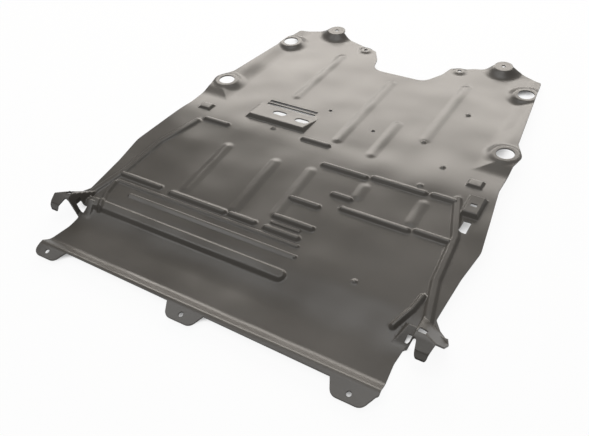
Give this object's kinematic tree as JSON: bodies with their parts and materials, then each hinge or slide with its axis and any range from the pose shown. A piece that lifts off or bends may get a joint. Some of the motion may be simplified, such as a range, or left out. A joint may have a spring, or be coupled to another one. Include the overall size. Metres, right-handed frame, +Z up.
{
  "type": "engine splash shield",
  "caption": "Moulded plastic under-engine shield with a rear notch, access holes, a vented ramp, cross beads, corner brackets and a curved front lip with tabs.",
  "frame": {"origin": "bottom centre of the whole part, on the floor it lies on", "axes": "+X to the right across the car, +Y towards the notched rear edge, +Z up"},
  "size_m": [0.8158, 1.002, 0.05],
  "materials": {
    "shield_plastic": "satin, fine grain"
  },
  "bodies": {
    "root": {"splash_shield": "shield_plastic"}
  },
  "joints": []
}
